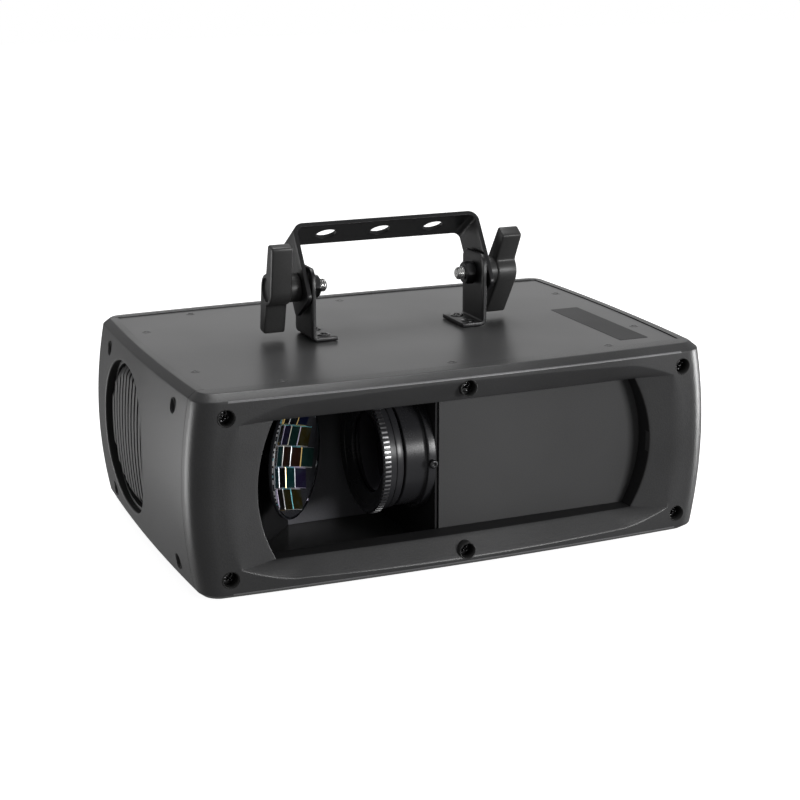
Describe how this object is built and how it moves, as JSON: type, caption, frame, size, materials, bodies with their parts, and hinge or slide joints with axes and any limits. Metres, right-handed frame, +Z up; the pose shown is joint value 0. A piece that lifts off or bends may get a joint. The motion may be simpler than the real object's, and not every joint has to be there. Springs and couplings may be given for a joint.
{
  "type": "gobo flower effect light",
  "caption": "Wide stage effect light with a bulged case, a window on a lens and a spinning mirror dish, and a tilting yoke with wing knobs.",
  "frame": {"origin": "on the floor under the middle of the case", "axes": "+X to the right seen from the front, +Y to the rear, +Z up; the window faces -Y"},
  "size_m": [0.3298, 0.2254, 0.189],
  "materials": {
    "case": "fine texture",
    "sheet": "satin",
    "black": "satin",
    "inside": "matte",
    "plastic": "satin",
    "rubber": "matte",
    "steel": "zinc plated",
    "alloy": "extruded",
    "mirror": "coated",
    "glass": "coated",
    "board": "lacquered",
    "screen": "smoked"
  },
  "bodies": {
    "case": {"front_bezel": "case", "left_side_panel": "case", "right_side_panel": "case", "rear_frame": "case", "blank_panel": "case", "left_grille": "black", "right_grille": "black", "rear_plate": "sheet", "top_plate": "sheet", "base_plate": "sheet", "rubber_foot_1": "rubber", "rubber_foot_2": "rubber", "rubber_foot_3": "rubber", "rubber_foot_4": "rubber", "front_screw_1": "black", "front_screw_2": "black", "front_screw_3": "black", "front_screw_4": "black", "front_screw_5": "black", "front_screw_6": "black", "chamber_liner": "inside", "lens_bulkhead": "inside", "lens_holder": "plastic", "condenser_lens": "glass", "gobo_motor": "steel", "led_module": "board", "lamp_bracket": "alloy", "heat_sink": "alloy", "fan_frame": "plastic", "mirror_motor": "steel", "power_supply": "alloy", "control_board": "board", "display_window": "screen", "mains_inlet": "plastic", "dmx_in_socket": "black", "dmx_out_socket": "black", "safety_eye": "steel", "left_bracket": "black", "right_bracket": "black", "left_bolt": "steel", "right_bolt": "steel", "left_nut": "black", "right_nut": "black", "left_washer": "steel", "right_washer": "steel"},
    "yoke": {"yoke": "black"},
    "left_knob": {"left_wing_knob": "plastic"},
    "right_knob": {"right_wing_knob": "plastic"},
    "mirror": {"mirror_disc": "mirror", "mirror_hub": "plastic"},
    "gobo": {"gobo_wheel": "steel"},
    "fan": {"fan_rotor": "black"},
    "focus": {"focus_tube": "plastic", "objective_lens": "glass"},
    "focus_lock": {"focus_lock_screw": "steel"},
    "fuse": {"fuse_cap": "plastic"},
    "button_1": {"menu_button_1": "plastic"},
    "button_2": {"menu_button_2": "plastic"},
    "button_3": {"menu_button_3": "plastic"},
    "button_4": {"menu_button_4": "plastic"}
  },
  "joints": [
    {"name": "yoke_tilt", "type": "hinge", "parent": "case", "child": "yoke", "pos_m": [0, 0, 0.152], "axis": [1, 0, 0], "range_deg": [-78, 146]},
    {"name": "left_knob_turn", "type": "hinge", "parent": "case", "child": "left_knob", "pos_m": [0, 0, 0.152], "axis": [-1, 0, 0], "range_deg": [-30, 360]},
    {"name": "right_knob_turn", "type": "hinge", "parent": "case", "child": "right_knob", "pos_m": [0, 0, 0.152], "axis": [1, 0, 0], "range_deg": [-30, 360]},
    {"name": "mirror_spin", "type": "hinge", "parent": "case", "child": "mirror", "pos_m": [-0.091, -0.0557, 0.0661], "axis": [0.7431, -0.6691, 0], "continuous": true},
    {"name": "gobo_spin", "type": "hinge", "parent": "case", "child": "gobo", "pos_m": [-0.006, -0.0272, 0.0626], "axis": [-1, 0, 0], "continuous": true},
    {"name": "fan_spin", "type": "hinge", "parent": "case", "child": "fan", "pos_m": [-0.1411, 0.0295, 0.0626], "axis": [-1, 0, 0], "continuous": true},
    {"name": "focus_slide", "type": "slide", "parent": "case", "child": "focus", "axis": [-1, 0, 0], "range_m": [0, 0.008]},
    {"name": "focus_lock_turn", "type": "hinge", "parent": "case", "child": "focus_lock", "pos_m": [-0.01325, -0.0557, 0.0626], "axis": [0, -1, 0], "range_deg": [0, 360]},
    {"name": "fuse_cap_turn", "type": "hinge", "parent": "case", "child": "fuse", "pos_m": [-0.052, 0.1023, 0.046], "axis": [0, -1, 0], "range_deg": [0, 90]},
    {"name": "button_1_press", "type": "slide", "parent": "case", "child": "button_1", "axis": [0, -1, 0], "range_m": [0, 0.0008], "stiffness_N_per_m": 1000, "springref_m": -0.0005},
    {"name": "button_2_press", "type": "slide", "parent": "case", "child": "button_2", "axis": [0, -1, 0], "range_m": [0, 0.0008], "stiffness_N_per_m": 1000, "springref_m": -0.0005},
    {"name": "button_3_press", "type": "slide", "parent": "case", "child": "button_3", "axis": [0, -1, 0], "range_m": [0, 0.0008], "stiffness_N_per_m": 1000, "springref_m": -0.0005},
    {"name": "button_4_press", "type": "slide", "parent": "case", "child": "button_4", "axis": [0, -1, 0], "range_m": [0, 0.0008], "stiffness_N_per_m": 1000, "springref_m": -0.0005}
  ]
}
